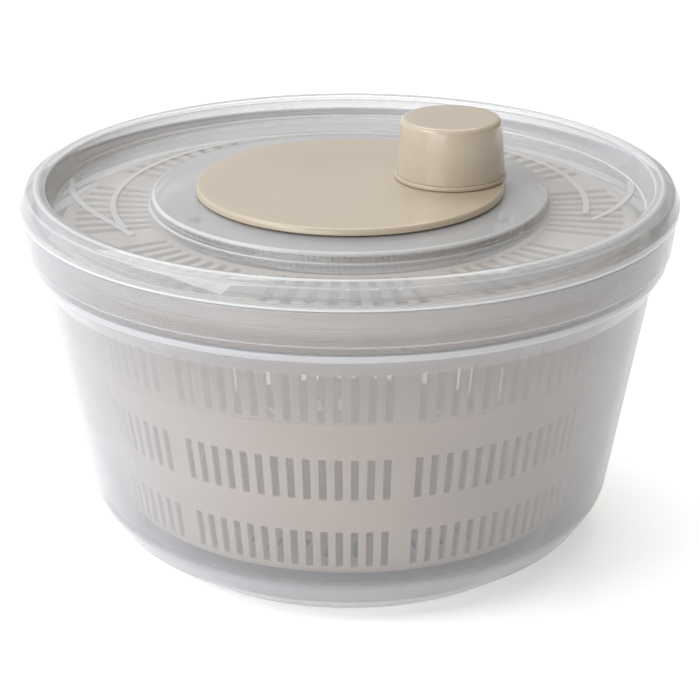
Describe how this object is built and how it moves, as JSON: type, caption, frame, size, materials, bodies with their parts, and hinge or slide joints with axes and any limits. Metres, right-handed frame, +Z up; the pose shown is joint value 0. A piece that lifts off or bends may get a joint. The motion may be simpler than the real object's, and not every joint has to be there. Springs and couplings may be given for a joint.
{
  "type": "salad spinner",
  "caption": "Round salad spinner: translucent bowl, slotted spinning basket under a slotted cover, and a clear lid with a disc crank and knob that turns it through a planetary gear train.",
  "frame": {"origin": "middle of the bowl's foot ring, on the surface it stands on", "axes": "+Z up along the common axis of the bowl, basket, cover, gears and crank; at rest the knob stands towards +X, a little towards +Y"},
  "size_m": [0.25, 0.25, 0.1645],
  "materials": {
    "bowl_plastic": "frosted translucent polypropylene",
    "clear_plastic": "clear polystyrene, polished",
    "basket_plastic": "satin warm grey-beige polypropylene",
    "crank_plastic": "glossy warm beige ABS",
    "gear_plastic": "natural acetal, satin",
    "steel": "zinc-plated steel"
  },
  "bodies": {
    "bowl": {"bowl": "bowl_plastic"},
    "lid": {"lid": "clear_plastic", "gearbox_plate": "gear_plastic", "shaft_bush": "gear_plastic", "idler_pin_1": "steel", "idler_pin_2": "steel", "idler_pin_3": "steel", "gearbox_screw_1": "steel", "gearbox_screw_2": "steel", "gearbox_screw_3": "steel"},
    "basket": {"basket": "basket_plastic"},
    "drive": {"basket_cover": "basket_plastic", "drive_hub": "gear_plastic", "sun_gear": "gear_plastic", "hub_washer": "steel", "hub_screw": "steel"},
    "crank": {"crank_disc": "crank_plastic", "ring_gear": "gear_plastic", "knob_washer": "steel", "knob_screw": "steel", "ring_gear_screw_1": "steel", "ring_gear_screw_2": "steel", "ring_gear_screw_3": "steel"},
    "knob": {"knob_core": "crank_plastic", "knob_shell": "crank_plastic"},
    "idler_1": {"idler_gear_1": "gear_plastic"},
    "idler_2": {"idler_gear_2": "gear_plastic"},
    "idler_3": {"idler_gear_3": "gear_plastic"}
  },
  "joints": [
    {"name": "lid_lift", "type": "slide", "parent": "bowl", "child": "lid", "axis": [0, 0, 1], "range_m": [0, 0.12]},
    {"name": "basket_spin", "type": "hinge", "parent": "bowl", "child": "basket", "pos_m": [0, 0, 0.0165], "axis": [0, 0, 1], "continuous": true},
    {"name": "drive_spin", "type": "hinge", "parent": "lid", "child": "drive", "pos_m": [0, 0, 0.121], "axis": [0, 0, 1], "continuous": true},
    {"name": "crank_turn", "type": "hinge", "parent": "lid", "child": "crank", "pos_m": [0, 0, 0.137], "axis": [0, 0, 1], "continuous": true},
    {"name": "knob_spin", "type": "hinge", "parent": "crank", "child": "knob", "pos_m": [0.0385, 0.006, 0.1485], "axis": [0, 0, 1], "continuous": true},
    {"name": "idler_1_spin", "type": "hinge", "parent": "lid", "child": "idler_1", "pos_m": [0.02598, 0.015, 0.127], "axis": [0, 0, 1], "continuous": true},
    {"name": "idler_2_spin", "type": "hinge", "parent": "lid", "child": "idler_2", "pos_m": [-0.02598, 0.015, 0.127], "axis": [0, 0, 1], "continuous": true},
    {"name": "idler_3_spin", "type": "hinge", "parent": "lid", "child": "idler_3", "pos_m": [0, -0.03, 0.127], "axis": [0, 0, 1], "continuous": true}
  ],
  "couplings": [
    {"joint": "drive_spin", "follows": "basket_spin", "ratio": 1},
    {"joint": "crank_turn", "follows": "basket_spin", "ratio": -0.25},
    {"joint": "idler_1_spin", "follows": "basket_spin", "ratio": -0.66667},
    {"joint": "idler_2_spin", "follows": "basket_spin", "ratio": -0.66667},
    {"joint": "idler_3_spin", "follows": "basket_spin", "ratio": -0.66667}
  ]
}
